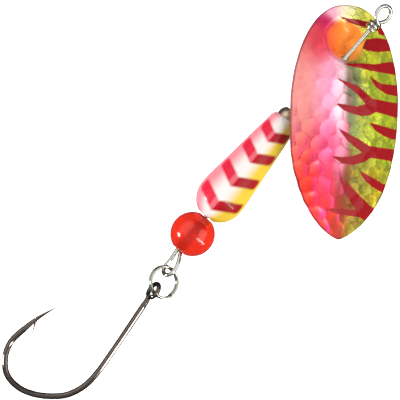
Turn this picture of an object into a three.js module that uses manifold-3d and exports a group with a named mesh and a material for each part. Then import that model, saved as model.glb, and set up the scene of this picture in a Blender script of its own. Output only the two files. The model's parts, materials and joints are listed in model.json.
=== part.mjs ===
// Inline spinner: a pierced blade, a painted weight and beads on one wire,
// with a split ring and a single hook hanging from the wire's lower loop.
// Millimetres, +Z up along the shaft, origin at the centre of the line eye.

import * as THREE from 'three';
import { mergeVertices } from 'three/addons/utils/BufferGeometryUtils.js';
import Module from 'manifold-3d';

// ---------------------------------------------------------------- driving dimensions

// One stainless wire forms the line eye, the wraps, the shaft, the lower loop and the tail.
const WIRE = 0.75;
const EYE_RADIUS = 1.58; // to the middle of the wire
const EYE_TURN = 40; // degrees, the eye's plane about the shaft
const WRAP_TURNS = 2;
const WRAP_PITCH = 0.81;
const WRAP_RADIUS = 0.81; // middle of the wrapped wire to the middle of the shaft
const WRAP_TOP = -1.95;
const PAIR_OFFSET = 0.385; // each of the two wires that share the bead's bore
const TAIL_TOP = -46.5;
const LOOP_TURN = -45; // degrees, the lower loop's plane about the shaft
const LOOP_CENTRE = new THREE.Vector2(1.3, -59.5);
const LOOP_RADIUS = 1.2;

// The blade is sheet brass, dished, with a cup at its head that the shaft passes through.
const BLADE_HOLE_Z = -10.7;
const BLADE_NORMAL = new THREE.Vector3(0.35, -1, 0.384).normalize();
const BLADE_UP = new THREE.Vector3(-0.624, 0.0803, 0.7775);
const BLADE_THICKNESS = 0.6;
const BLADE_HALF_WIDTH = 10.96;
const BLADE_HEAD = 17.9; // widest line to the round end
const BLADE_TAIL = 24.1; // widest line to the point
const BLADE_MIDDLE = new THREE.Vector2(1.09, -8); // widest line's middle, from the hole
const HEAD_BLUNTNESS = { width: 0.86, length: 1.07 };
const TAIL_BLUNTNESS = { width: 1.42, length: 0.75 };
const BLADE_CROWN_ACROSS = 2.5;
const BLADE_CROWN_ALONG = 2.6;
const CUP_CENTRE = new THREE.Vector2(0.3, 3.4);
const CUP_RADIUS = 4.4;
const CUP_DEPTH = 2.2;
const BLADE_HOLE_RADIUS = 0.7;

const BEAD_RADIUS = 4;
const BEAD_Z = -52.04;
const BEAD_BORE = 0.83;
const BEAD_CHAMFER = 0.45;

// The weight is a turned teardrop with its large end down. It is loose on the wire and leans.
// Its heights, and those of the bearing bead in its top, are from the red bead's centre.
const WEIGHT_FOOT = new THREE.Vector3(-0.26, 0, BEAD_Z);
const WEIGHT_LEAN = -1.2; // degrees about Y
const WEIGHT_WIDEST = 8.34;
const WEIGHT_RADIUS = 4.4;
const WEIGHT_NOSE = 4.7;
const WEIGHT_RIM = 1.65;
const WEIGHT_TOP = 26.44;
const WEIGHT_TOP_RADIUS = 2.12;
const WEIGHT_BORE = 1.32; // the bearing bead's too

// The brass bearing bead sits half sunk in the top of the weight.
const BEARING_RADIUS = 1.95;
const BEARING_Z = 26.88;
const SEAT_RADIUS = 2.04;

// The split ring is two turns of wire.
const RING_WIRE = 0.5;
const RING_RADIUS = 2.8;
const RING_PITCH = 0.54;
const RING_CENTRE = new THREE.Vector3(1.734, -1.7, -61.9);
const RING_NORMAL = new THREE.Vector3(0.389, -0.857, 0.337).normalize();

// The hook hangs with its eye round the split ring. Its plane is upright and its gape faces -X.
const HOOK_WIRE = 1.12;
const HOOK_EYE_WIRE = 0.85;
const HOOK_EYE_RADIUS = 1.375;
const HOOK_EYE_TURN = -60; // degrees, the eye's plane from the bend's plane
const HOOK_EYE_CENTRE = new THREE.Vector3(1.35, -3, -64.2);
const HOOK_LEAN = -6.5; // degrees about Y
const HOOK_TIP_RADIUS = 0.05;
const HOOK_EYE_START = -62;
const HOOK_NECK_END = 7.6;
const HOOK_SHANK_FULL = 9.6;
const HOOK_SPEAR = 7.5;
const BARB_RADIUS = 0.3;
const BARB_LENGTH = 2.6;
const BARB_BASE = new THREE.Vector3(-14.25, 0, -16.2);
const BARB_DIRECTION = new THREE.Vector3(0.27, 0, -0.963);

// ---------------------------------------------------------------- shared shapes

const UP = new THREE.Vector3(0, 0, 1);

const wasm = await Module();
wasm.setup();

function toManifold(geometry) {
  const bare = geometry.clone();
  bare.deleteAttribute('normal');
  bare.deleteAttribute('uv');
  const merged = mergeVertices(bare, 1e-4);
  const mesh = new wasm.Mesh({
    numProp: 3,
    vertProperties: new Float32Array(merged.attributes.position.array),
    triVerts: new Uint32Array(merged.index.array),
  });
  return new wasm.Manifold(mesh);
}

function toGeometry(manifold) {
  const mesh = manifold.getMesh();
  const geometry = new THREE.BufferGeometry();
  geometry.setAttribute('position', new THREE.BufferAttribute(mesh.vertProperties, 3));
  geometry.setIndex(new THREE.BufferAttribute(mesh.triVerts, 1));
  return geometry;
}

// A round wire of one diameter along a curve.
function wireAlong(curve, diameter, steps, sides) {
  const section = new THREE.Shape();
  for (let side = 0; side < sides; side += 1) {
    const angle = (side / sides) * 2 * Math.PI;
    const x = (diameter / 2) * Math.cos(angle);
    const y = (diameter / 2) * Math.sin(angle);
    if (side === 0) {
      section.moveTo(x, y);
    } else {
      section.lineTo(x, y);
    }
  }
  section.closePath();
  return new THREE.ExtrudeGeometry(section, { steps, extrudePath: curve, bevelEnabled: false });
}

// A solid of revolution about Z from [radius, z] points that go up the outside and down the bore.
function turned(profile, segments) {
  const points = profile.map(([radius, z]) => new THREE.Vector2(radius, z));
  points.push(points[0].clone());
  const geometry = new THREE.LatheGeometry(points, segments);
  geometry.rotateX(Math.PI / 2);
  return geometry;
}

function arc(centreRadius, centreZ, acrossRadius, alongRadius, fromDegrees, toDegrees, count) {
  const points = [];
  for (let step = 0; step <= count; step += 1) {
    const angle = THREE.MathUtils.degToRad(fromDegrees + ((toDegrees - fromDegrees) * step) / count);
    points.push([centreRadius + acrossRadius * Math.cos(angle), centreZ + alongRadius * Math.sin(angle)]);
  }
  return points;
}

function named(name, geometry, colour, roughness, metalness) {
  const material = new THREE.MeshStandardMaterial({ color: colour, roughness, metalness });
  const mesh = new THREE.Mesh(geometry, material);
  mesh.name = name;
  return mesh;
}

// ---------------------------------------------------------------- wire shaft

function makeShaft() {
  const across = new THREE.Vector3(1, 0, 0).applyAxisAngle(UP, THREE.MathUtils.degToRad(EYE_TURN));
  const forward = new THREE.Vector3().crossVectors(across, UP);
  const inEye = (a, f, z) => new THREE.Vector3(0, 0, z).addScaledVector(across, a).addScaledVector(forward, f);
  const points = [];

  // The wraps climb the shaft and end in front of it.
  const stepsPerTurn = 12;
  const wrapSteps = WRAP_TURNS * stepsPerTurn;
  for (let step = 0; step <= wrapSteps; step += 1) {
    const angle = Math.PI / 2 - ((wrapSteps - step) / stepsPerTurn) * 2 * Math.PI;
    const z = WRAP_TOP - ((wrapSteps - step) / stepsPerTurn) * WRAP_PITCH;
    points.push(inEye(WRAP_RADIUS * Math.cos(angle), WRAP_RADIUS * Math.sin(angle), z));
  }

  // The eye, from its left side over the top and down to the shaft.
  points.push(inEye(-0.72, 0.6, -1.68));
  points.push(inEye(-1.32, 0.25, -1.02));
  for (let degrees = 180; degrees >= 0; degrees -= 30) {
    const angle = THREE.MathUtils.degToRad(degrees);
    points.push(inEye(EYE_RADIUS * Math.cos(angle), 0, EYE_RADIUS * Math.sin(angle)));
  }
  points.push(inEye(1.36, 0, -0.82));
  points.push(inEye(0.82, 0, -1.42));
  points.push(inEye(0.28, 0, -1.98));
  points.push(inEye(0, 0, -2.7));
  points.push(inEye(0, 0, -3.6));

  // The straight shaft, which moves over inside the weight to make room for the tail.
  const aside = new THREE.Vector3(1, 0, 0).applyAxisAngle(UP, THREE.MathUtils.degToRad(LOOP_TURN));
  const inLoop = (a, z) => new THREE.Vector3(0, 0, z).addScaledVector(aside, a);
  for (let z = -8; z >= -40; z -= 8) {
    points.push(inLoop(0, z));
  }
  points.push(inLoop(0, -42));
  points.push(inLoop(-PAIR_OFFSET, TAIL_TOP + 0.7));
  points.push(inLoop(-PAIR_OFFSET, -50));
  points.push(inLoop(-PAIR_OFFSET, -55.4));

  // The lower loop, then the tail back up beside the shaft.
  points.push(inLoop(-0.2, -56.6));
  points.push(inLoop(0.02, -57.9));
  for (let degrees = 180; degrees <= 360; degrees += 22.5) {
    const angle = THREE.MathUtils.degToRad(degrees);
    points.push(inLoop(LOOP_CENTRE.x + LOOP_RADIUS * Math.cos(angle), LOOP_CENTRE.y + LOOP_RADIUS * Math.sin(angle)));
  }
  points.push(inLoop(2.33, -58.3));
  points.push(inLoop(1.72, -57.2));
  points.push(inLoop(1.0, -56.25));
  points.push(inLoop(0.5, -55.5));
  points.push(inLoop(PAIR_OFFSET, -54.6));
  points.push(inLoop(PAIR_OFFSET, -50));
  points.push(inLoop(PAIR_OFFSET, TAIL_TOP));

  const curve = new THREE.CatmullRomCurve3(points, false, 'centripetal');
  curve.arcLengthDivisions = 4000;
  return named('wire_shaft', wireAlong(curve, WIRE, 210, 8), 0xc9c9c4, 0.22, 1);
}

// ---------------------------------------------------------------- spinner blade

// Height of the sheet's middle above the hole, in the blade's own frame.
function bladeHeight(x, y) {
  const across = (x - BLADE_MIDDLE.x) / BLADE_HALF_WIDTH;
  const along = (y - BLADE_MIDDLE.y) / ((BLADE_HEAD + BLADE_TAIL) / 2);
  const reach = Math.hypot(x - CUP_CENTRE.x, y - CUP_CENTRE.y) / CUP_RADIUS;
  const cup = reach < 1 ? CUP_DEPTH * (1 - reach * reach) ** 1.15 : 0;
  return -BLADE_CROWN_ACROSS * across * across - BLADE_CROWN_ALONG * along * along - cup;
}

function makeBlade() {
  // A flat disc of rings is stretched to the outline and then dished.
  const rings = 15;
  const segments = 48;
  const half = BLADE_THICKNESS / 2;
  const profile = [];
  for (let ring = 0; ring <= rings; ring += 1) {
    profile.push(new THREE.Vector2(ring / rings, -half));
  }
  for (let ring = rings; ring >= 0; ring -= 1) {
    profile.push(new THREE.Vector2(ring / rings, half));
  }
  const geometry = new THREE.LatheGeometry(profile, segments);
  geometry.rotateX(Math.PI / 2);

  const holeHeight = bladeHeight(0, 0);
  const position = geometry.attributes.position;
  for (let index = 0; index < position.count; index += 1) {
    const reach = Math.hypot(position.getX(index), position.getY(index));
    const angle = Math.atan2(position.getY(index), position.getX(index));
    const cos = Math.cos(angle);
    const sin = Math.sin(angle);
    const head = sin > 0;
    const bluntness = head ? HEAD_BLUNTNESS : TAIL_BLUNTNESS;
    const width = BLADE_HALF_WIDTH * Math.sign(cos) * Math.abs(cos) ** bluntness.width;
    const length = (head ? BLADE_HEAD : BLADE_TAIL) * Math.sign(sin) * Math.abs(sin) ** bluntness.length;
    const x = BLADE_MIDDLE.x + reach * width;
    const y = BLADE_MIDDLE.y + reach * length;
    const z = position.getZ(index) + bladeHeight(x, y) - holeHeight;
    position.setXYZ(index, x, y, z);
  }

  const side = new THREE.Vector3().crossVectors(BLADE_UP, BLADE_NORMAL).normalize();
  const up = new THREE.Vector3().crossVectors(BLADE_NORMAL, side);
  const turn = new THREE.Quaternion().setFromRotationMatrix(new THREE.Matrix4().makeBasis(side, up, BLADE_NORMAL));

  // The hole is drilled along the shaft.
  const drill = new THREE.CylinderGeometry(BLADE_HOLE_RADIUS, BLADE_HOLE_RADIUS, 5, 20);
  drill.rotateX(Math.PI / 2);
  drill.applyQuaternion(turn.clone().invert());
  const pierced = toManifold(geometry).subtract(toManifold(drill));

  const blade = named('spinner_blade', toGeometry(pierced), 0xf07a72, 0.3, 0.6);
  blade.position.set(0, 0, BLADE_HOLE_Z);
  blade.quaternion.copy(turn);
  return blade;
}

// ---------------------------------------------------------------- bearing, weight and bead

function makeBearing() {
  const edge = THREE.MathUtils.radToDeg(Math.acos(WEIGHT_BORE / BEARING_RADIUS));
  const profile = arc(0, BEARING_Z, BEARING_RADIUS, BEARING_RADIUS, -edge, edge, 10);
  return named('bearing_bead', turned(profile, 20), 0xa98552, 0.3, 1);
}

function makeWeight() {
  const rimDegrees = THREE.MathUtils.radToDeg(Math.acos(WEIGHT_RIM / WEIGHT_RADIUS));
  const nose = arc(0, WEIGHT_WIDEST, WEIGHT_RADIUS, WEIGHT_NOSE, -rimDegrees, 0, 8);
  const seatFrom = THREE.MathUtils.radToDeg(Math.asin((WEIGHT_TOP - BEARING_Z) / SEAT_RADIUS));
  const seatTo = -THREE.MathUtils.radToDeg(Math.acos(WEIGHT_BORE / SEAT_RADIUS));
  const seat = arc(0, BEARING_Z, SEAT_RADIUS, SEAT_RADIUS, seatFrom, seatTo, 5);
  const profile = [
    ...nose,
    [4.36, 9.6],
    [4.22, 11],
    [3.4, 18.6],
    [2.76, 24.5],
    [2.63, 25.5],
    [2.42, 26.1],
    [WEIGHT_TOP_RADIUS, WEIGHT_TOP],
    ...seat,
    [WEIGHT_BORE, 4.35],
  ];
  return named('weighted_body', turned(profile, 28), 0xf2d9dc, 0.15, 0.1);
}

function makeBead() {
  const mouth = BEAD_BORE + BEAD_CHAMFER;
  const edge = THREE.MathUtils.radToDeg(Math.acos(mouth / BEAD_RADIUS));
  const end = BEAD_RADIUS * Math.sin(THREE.MathUtils.degToRad(edge));
  const profile = [
    ...arc(0, BEAD_Z, BEAD_RADIUS, BEAD_RADIUS, -edge, edge, 12),
    [BEAD_BORE, BEAD_Z + end - BEAD_CHAMFER],
    [BEAD_BORE, BEAD_Z - end + BEAD_CHAMFER],
  ];
  return named('red_bead', turned(profile, 28), 0xf23a22, 0.1, 0);
}

// ---------------------------------------------------------------- split ring

function makeRing() {
  const points = [];
  const stepsPerTurn = 24;
  for (let step = 0; step <= 2 * stepsPerTurn; step += 1) {
    const turns = step / stepsPerTurn;
    const angle = turns * 2 * Math.PI;
    points.push(new THREE.Vector3(
      RING_RADIUS * Math.cos(angle),
      RING_RADIUS * Math.sin(angle),
      RING_PITCH * (turns - 1),
    ));
  }
  const curve = new THREE.CatmullRomCurve3(points, false, 'centripetal');
  curve.arcLengthDivisions = 1000;
  const ring = named('split_ring', wireAlong(curve, RING_WIRE, 60, 8), 0xd2d2cc, 0.2, 1);
  ring.position.copy(RING_CENTRE);
  ring.quaternion.setFromUnitVectors(UP, RING_NORMAL);
  return ring;
}

// ---------------------------------------------------------------- single hook

// The wire's radius at a distance from the eye's free end.
function hookRadius(distance, length) {
  const spear = length - HOOK_SPEAR;
  if (distance < HOOK_NECK_END) {
    return HOOK_EYE_WIRE / 2;
  }
  if (distance < HOOK_SHANK_FULL) {
    const share = (distance - HOOK_NECK_END) / (HOOK_SHANK_FULL - HOOK_NECK_END);
    return THREE.MathUtils.lerp(HOOK_EYE_WIRE / 2, HOOK_WIRE / 2, share);
  }
  if (distance < spear) {
    return HOOK_WIRE / 2;
  }
  const share = (distance - spear) / HOOK_SPEAR;
  return THREE.MathUtils.lerp(HOOK_WIRE / 2, HOOK_TIP_RADIUS, share ** 1.15);
}

function makeHook() {
  // Local frame: the eye's centre is the origin, the shank runs down -Z and the gape is to -X.
  const aside = new THREE.Vector3(1, 0, 0).applyAxisAngle(UP, THREE.MathUtils.degToRad(HOOK_EYE_TURN));
  const points = [];
  const eyeSteps = 13;
  const eyeEnd = 255;
  for (let step = 0; step <= eyeSteps; step += 1) {
    const angle = THREE.MathUtils.degToRad(HOOK_EYE_START + ((eyeEnd - HOOK_EYE_START) * step) / eyeSteps);
    const onEye = new THREE.Vector3(0, 0, HOOK_EYE_RADIUS * Math.sin(angle));
    points.push(onEye.addScaledVector(aside, HOOK_EYE_RADIUS * Math.cos(angle)));
  }
  const bend = [
    [0, -2.1], [0.02, -3], [0.05, -6], [0.1, -10], [0.1, -14], [0.02, -17.3], [-0.5, -20.7], [-2.1, -23.8],
    [-4.3, -25.7], [-7.2, -27.2], [-10.2, -27.75], [-13.1, -27], [-15.05, -24.7], [-15.78, -21.9],
    [-15.1, -18.5], [-14.2, -15.6], [-12.62, -12.27],
  ];
  bend.forEach(([x, z]) => points.push(new THREE.Vector3(x, 0, z)));
  const curve = new THREE.CatmullRomCurve3(points, false, 'centripetal');
  curve.arcLengthDivisions = 2000;

  // A wire of 1 mm radius is drawn in, ring by ring, to the hook's own radius there.
  const steps = 84;
  const length = curve.getLength();
  const geometry = wireAlong(curve, 2, steps, 10);
  const middles = curve.getSpacedPoints(steps);
  const tangents = middles.map((middle, step) => curve.getTangentAt(step / steps));
  const offset = new THREE.Vector3();
  const ringOf = (vertex) => {
    let nearest = 0;
    let smallestMiss = Infinity;
    middles.forEach((middle, step) => {
      offset.copy(vertex).sub(middle);
      const miss = Math.abs(offset.length() - 1) + Math.abs(offset.dot(tangents[step]));
      if (miss < smallestMiss) {
        nearest = step;
        smallestMiss = miss;
      }
    });
    return nearest;
  };
  const position = geometry.attributes.position;
  const vertex = new THREE.Vector3();
  for (let index = 0; index < position.count; index += 1) {
    vertex.fromBufferAttribute(position, index);
    const ring = ringOf(vertex);
    const radius = hookRadius((ring / steps) * length, length);
    vertex.sub(middles[ring]).multiplyScalar(radius).add(middles[ring]);
    position.setXYZ(index, vertex.x, vertex.y, vertex.z);
  }

  // The barb is raised from the inside of the spear and points back down it.
  const barb = new THREE.ConeGeometry(BARB_RADIUS, BARB_LENGTH, 6);
  barb.translate(0, BARB_LENGTH / 2, 0);
  barb.applyQuaternion(new THREE.Quaternion().setFromUnitVectors(
    new THREE.Vector3(0, 1, 0),
    BARB_DIRECTION.clone().normalize(),
  ));
  barb.translate(BARB_BASE.x, BARB_BASE.y, BARB_BASE.z);
  const solid = toManifold(geometry).add(toManifold(barb));

  const hook = named('single_hook', toGeometry(solid), 0x3a302e, 0.2, 1);
  hook.position.copy(HOOK_EYE_CENTRE);
  hook.rotation.y = THREE.MathUtils.degToRad(HOOK_LEAN);
  return hook;
}

// ---------------------------------------------------------------- assembly

const leaning = new THREE.Group();
leaning.position.copy(WEIGHT_FOOT);
leaning.rotation.y = THREE.MathUtils.degToRad(WEIGHT_LEAN);
leaning.add(makeBearing(), makeWeight());

const spinner = new THREE.Group();
spinner.add(makeShaft(), makeBlade(), leaning, makeBead(), makeRing(), makeHook());

export default spinner;
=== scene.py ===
import json
import math

import bpy
import numpy as np
from mathutils import Matrix, Vector


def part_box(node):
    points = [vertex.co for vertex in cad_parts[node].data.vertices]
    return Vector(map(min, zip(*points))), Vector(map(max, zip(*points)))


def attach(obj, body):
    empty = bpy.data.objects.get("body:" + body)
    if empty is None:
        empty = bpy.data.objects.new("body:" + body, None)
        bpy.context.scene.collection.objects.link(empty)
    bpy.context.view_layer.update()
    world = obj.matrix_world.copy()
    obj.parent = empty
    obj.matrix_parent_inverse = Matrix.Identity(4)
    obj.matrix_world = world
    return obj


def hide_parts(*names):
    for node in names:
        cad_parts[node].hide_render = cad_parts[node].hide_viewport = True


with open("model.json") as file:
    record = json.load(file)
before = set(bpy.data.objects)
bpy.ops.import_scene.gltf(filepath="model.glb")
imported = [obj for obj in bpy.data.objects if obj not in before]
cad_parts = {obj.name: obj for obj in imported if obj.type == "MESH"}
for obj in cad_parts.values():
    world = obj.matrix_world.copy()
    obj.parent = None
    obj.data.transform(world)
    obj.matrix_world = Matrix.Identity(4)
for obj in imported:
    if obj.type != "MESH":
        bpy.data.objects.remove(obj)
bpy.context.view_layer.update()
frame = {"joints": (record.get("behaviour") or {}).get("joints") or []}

# ---------------------------------------------------------------- wire shaft
# One bright stainless spring wire is the whole backbone. It is bent on pins into the line eye,
# wrapped twice round itself, run down through the blade and the beads, turned into the lower
# loop, and its tail is doubled back up inside the bead and the weight.

MM = 0.001
WIRE = 0.75
EYE_RADIUS = 1.58
EYE_TURN = math.radians(40)
WRAP_RADIUS = 0.81
WRAP_PITCH = 0.81
WRAP_TOP = -1.95
WRAP_TURNS = 2
LOOP_TURN = math.radians(-45)
LOOP_ASIDE, LOOP_HEIGHT, LOOP_RADIUS = 1.3, -59.5, 1.2
PAIR_OFFSET = 0.385
TAIL_TOP = -46.5
WRAP_STEPS, EYE_STEP, LOOP_STEPS, ROUTE_STEPS = 12, 30, 8, 7
# Bending points, aside and up in millimetres: out of the wraps, back out of the eye to the shaft,
# past the weight into the doubled part, into the loop, and out of the loop to the tail.
INTO_EYE = [(-0.72, 0.6, -1.68), (-1.32, 0.25, -1.02)]
OUT_OF_EYE = [(1.36, -0.82), (0.82, -1.42), (0.28, -1.98), (0, -2.7), (0, -3.6)]
DOWN_SHAFT = [(0, -8), (0, -16), (0, -24), (0, -32), (0, -40), (0, -42)]
BESIDE_TAIL = [(-PAIR_OFFSET, TAIL_TOP + 0.7), (-PAIR_OFFSET, -50), (-PAIR_OFFSET, -55.4)]
INTO_LOOP = [(-0.2, -56.6), (0.02, -57.9)]
OUT_OF_LOOP = [(2.33, -58.3), (1.72, -57.2), (1.0, -56.25), (0.5, -55.5)]
UP_TAIL = [(PAIR_OFFSET, -54.6), (PAIR_OFFSET, -50), (PAIR_OFFSET, TAIL_TOP)]
SMOOTH_ANGLE = math.radians(40)


def linear(hex_code):
    """An sRGB hex colour as the linear RGBA that a shader takes."""
    channels = [int(hex_code[i : i + 2], 16) / 255 for i in (1, 3, 5)]
    return [c / 12.92 if c <= 0.04045 else ((c + 0.055) / 1.055) ** 2.4 for c in channels] + [1.0]


def node(tree, kind, inputs=None, **settings):
    """Adds one node. An input is a value, or another node's output to link from."""
    made = tree.nodes.new("ShaderNode" + kind)
    for name, value in settings.items():
        setattr(made, name, value)
    for socket, value in (inputs or {}).items():
        if isinstance(value, bpy.types.NodeSocket):
            tree.links.new(value, made.inputs[socket])
        else:
            made.inputs[socket].default_value = value
    return made


def finish(name):
    """A new material with only a Principled shader in it."""
    material = bpy.data.materials.new(name)
    material.use_nodes = True
    tree = material.node_tree
    tree.nodes.clear()
    shader = node(tree, "BsdfPrincipled")
    node(tree, "OutputMaterial", {"Surface": shader.outputs["BSDF"]})
    return material, tree, shader


def pick(piece):
    """Selects one object and nothing else."""
    bpy.ops.object.select_all(action="DESELECT")
    piece.select_set(True)
    bpy.context.view_layer.objects.active = piece


def curved_through(knots, steps):
    """Points along a smooth line through the knots, as evenly bent wire lies."""
    knots = [Vector(k) for k in knots]
    knots = [2 * knots[0] - knots[1], *knots, 2 * knots[-1] - knots[-2]]
    line = []
    for before, start, end, after in zip(knots, knots[1:], knots[2:], knots[3:]):
        d0, d1, d2 = (math.sqrt((q - p).length) for p, q in ((before, start), (start, end), (end, after)))
        leave = ((start - before) / d0 - (end - before) / (d0 + d1) + (end - start) / d1) * d1
        arrive = ((end - start) / d1 - (after - start) / (d1 + d2) + (after - end) / d2) * d1
        for step in range(steps):
            t = step / steps
            line.append(
                start * (2 * t**3 - 3 * t**2 + 1)
                + leave * (t**3 - 2 * t**2 + t)
                + end * (3 * t**2 - 2 * t**3)
                + arrive * (t**3 - t**2)
            )
    return [*line, knots[-2]]


def drawn_wire(name, line, radii, sides=6):
    """A round wire along a line in millimetres, with a radius at each point."""
    data = bpy.data.curves.new(name, "CURVE")
    data.dimensions = "3D"
    data.bevel_depth = MM
    data.bevel_resolution = sides
    data.use_fill_caps = True
    spline = data.splines.new("POLY")
    spline.points.add(len(line) - 1)
    for point, place, radius in zip(spline.points, line, radii):
        point.co = (*(place * MM), 1)
        point.radius = radius
    wire = bpy.data.objects.new(name, data)
    bpy.context.collection.objects.link(wire)
    pick(wire)
    bpy.ops.object.convert(target="MESH")
    bpy.ops.object.shade_smooth_by_angle(angle=SMOOTH_ANGLE)
    return bpy.context.object


def in_eye(across, forward, height):
    """A point in the line eye's own plane, which is turned about the shaft."""
    c, s = math.cos(EYE_TURN), math.sin(EYE_TURN)
    return Vector((across * c + forward * s, across * s - forward * c, height))


def in_loop(aside, height):
    """A point in the lower loop's plane."""
    return Vector((aside * math.cos(LOOP_TURN), aside * math.sin(LOOP_TURN), height))


route = []
for step in range(WRAP_STEPS * WRAP_TURNS + 1):
    left = (WRAP_STEPS * WRAP_TURNS - step) / WRAP_STEPS
    angle = math.pi / 2 - left * 2 * math.pi
    height = WRAP_TOP - left * WRAP_PITCH
    route.append(in_eye(WRAP_RADIUS * math.cos(angle), WRAP_RADIUS * math.sin(angle), height))
route += [in_eye(*point) for point in INTO_EYE]
for degrees in range(180, -1, -EYE_STEP):
    angle = math.radians(degrees)
    route.append(in_eye(EYE_RADIUS * math.cos(angle), 0, EYE_RADIUS * math.sin(angle)))
route += [in_eye(across, 0, height) for across, height in OUT_OF_EYE]
route += [in_loop(*point) for point in DOWN_SHAFT + BESIDE_TAIL + INTO_LOOP]
for step in range(LOOP_STEPS + 1):
    angle = math.pi + step * math.pi / LOOP_STEPS
    aside = LOOP_ASIDE + LOOP_RADIUS * math.cos(angle)
    route.append(in_loop(aside, LOOP_HEIGHT + LOOP_RADIUS * math.sin(angle)))
route += [in_loop(*point) for point in OUT_OF_LOOP + UP_TAIL]
shaft_line = curved_through(route, ROUTE_STEPS)
shaft = drawn_wire("shaft_wire", shaft_line, [WIRE / 2] * len(shaft_line))


def bright_wire(name, metal, shade, drawn_mm):
    """Drawn spring wire: mirror-like, with faint dull patches left by the die and the bending pins."""
    material, tree, shader = finish(name)
    place = node(tree, "TexCoord").outputs["Object"]
    dull = node(tree, "TexNoise", {"Vector": place, "Scale": 1 / (drawn_mm * MM), "Detail": 3.0})
    tint = node(
        tree,
        "Mix",
        {0: dull.outputs["Fac"], 6: linear(metal), 7: linear(shade)},
        data_type="RGBA",
    )
    rough = node(
        tree,
        "MapRange",
        {"Value": dull.outputs["Fac"], "From Min": 0.35, "From Max": 0.7, "To Min": 0.1, "To Max": 0.22},
    )
    tree.links.new(tint.outputs[2], shader.inputs["Base Color"])
    tree.links.new(rough.outputs["Result"], shader.inputs["Roughness"])
    shader.inputs["Metallic"].default_value = 1.0
    return material


# Stainless spring wire, drawn bright: cool white highlights over a warm grey, with a faint
# 2.5 mm mottling from the drawing die.
shaft.data.materials.append(bright_wire("stainless spring wire, bright drawn", "#D6D7CF", "#B4B6AC", 2.5))
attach(shaft, "shaft")
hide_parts("wire_shaft")

# ---------------------------------------------------------------- spinner blade
# The blade is stamped from 0.6 mm brass sheet, dished, planished with a ball hammer and pierced in
# the wall of the cup pressed into its head. The face is plated and airbrushed in fluorescent pink,
# pearl and chartreuse under clear lacquer, with red tiger stripes; the back is bare plated metal.


def turning_place(joint_name):
    """Where a joint of the frame sits, in millimetres."""
    found = next(joint for joint in frame["joints"] if joint["name"] == joint_name)
    return Vector(found["pos_m"]) / MM


HOLE_HEIGHT = turning_place("blade_spin").z
BLADE_MIDDLE = np.array([1.09, -8.0])
HALF_WIDTH, HEAD, TAIL = 10.96, 17.9, 24.1
HEAD_BLUNT, TAIL_BLUNT = (0.86, 1.07), (1.42, 0.75)
CROWN_ACROSS, CROWN_ALONG = 2.5, 2.6
CUP_MIDDLE, CUP_RADIUS, CUP_DEPTH, CUP_ROUNDING = np.array([0.3, 3.4]), 4.4, 2.2, 1.15
SHEET = 0.6
HOLE_RADIUS = 0.7
BLADE_NORMAL = Vector((0.35, -1, 0.384)).normalized()
BLADE_SIDE = Vector((-0.624, 0.0803, 0.7775)).cross(BLADE_NORMAL).normalized()
BLADE_UP = BLADE_NORMAL.cross(BLADE_SIDE)
BLADE_RINGS, BLADE_SIDES = 95, 300
DIMPLE = 2.9
DIMPLE_DISH = 0.125
HAMMER_ROWS, HAMMER_COLUMNS, ROW_SPACING = range(-2, 17), range(-5, 6), 0.87
FIRST_BLOW = (1, 10)
BLOW_STRAY, BLOW_SIZES = 0.6, (0.8, 1.2)
LIGHT_BLOW, RIGHT_BLOW, MIDDLE_BLOW, MIDDLE_WIDTH = 0.3, 0.45, 0.75, 2.5
DISH_REACH, RIDGE_DEPTH, RIDGE_STEEPNESS, UNEVEN_DEPTH = 1.25, 0.55, 4, 0.3


def crown(x, y):
    """Height of the pressed sheet before hammering, in millimetres."""
    across = (x - BLADE_MIDDLE[0]) / HALF_WIDTH
    along = (y - BLADE_MIDDLE[1]) / ((HEAD + TAIL) / 2)
    reach = np.hypot(x - CUP_MIDDLE[0], y - CUP_MIDDLE[1]) / CUP_RADIUS
    cup = CUP_DEPTH * np.clip(1 - reach**2, 0, 1) ** CUP_ROUNDING
    return -CROWN_ACROSS * across**2 - CROWN_ALONG * along**2 - cup


def on_outline(turn):
    """The blade's edge at an angle round its middle."""
    head = np.sin(turn) > 0
    wide, long = np.abs(np.cos(turn)), np.abs(np.sin(turn))
    wide = HALF_WIDTH * np.sign(np.cos(turn)) * wide ** np.where(head, HEAD_BLUNT[0], TAIL_BLUNT[0])
    long = np.where(head, HEAD, -TAIL) * long ** np.where(head, HEAD_BLUNT[1], TAIL_BLUNT[1])
    return BLADE_MIDDLE[0] + wide, BLADE_MIDDLE[1] + long


def blow_places():
    """Where the hammer falls: staggered rows, each blow a little off its place and size."""
    dice = np.random.default_rng(7)
    places = []
    for row in HAMMER_ROWS:
        for column in HAMMER_COLUMNS:
            across = (column + 0.5 * (row % 2)) * DIMPLE + FIRST_BLOW[0]
            places.append((across, FIRST_BLOW[1] - row * DIMPLE * ROW_SPACING))
    places = np.array(places) + dice.uniform(-BLOW_STRAY, BLOW_STRAY, (len(places), 2))
    return places, dice.uniform(*BLOW_SIZES, len(places)), dice.uniform(-1, 1, len(places))


def struck(x, y):
    """For each point: reach in the nearest blow (1 at its rim), gap to the ridge, tone, side of the blow."""
    places, sizes, tones = blow_places()
    distances = np.hypot(x[:, None] - places[:, 0], y[:, None] - places[:, 1]) / sizes
    order = np.argsort(distances, axis=1)[:, :2]
    first, second = np.take_along_axis(distances, order, 1).T
    aside = (x - places[order[:, 0], 0]) / (DIMPLE / 2)
    return first / (DIMPLE / 2), (second - first) / 2, tones[order[:, 0]], aside


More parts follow.
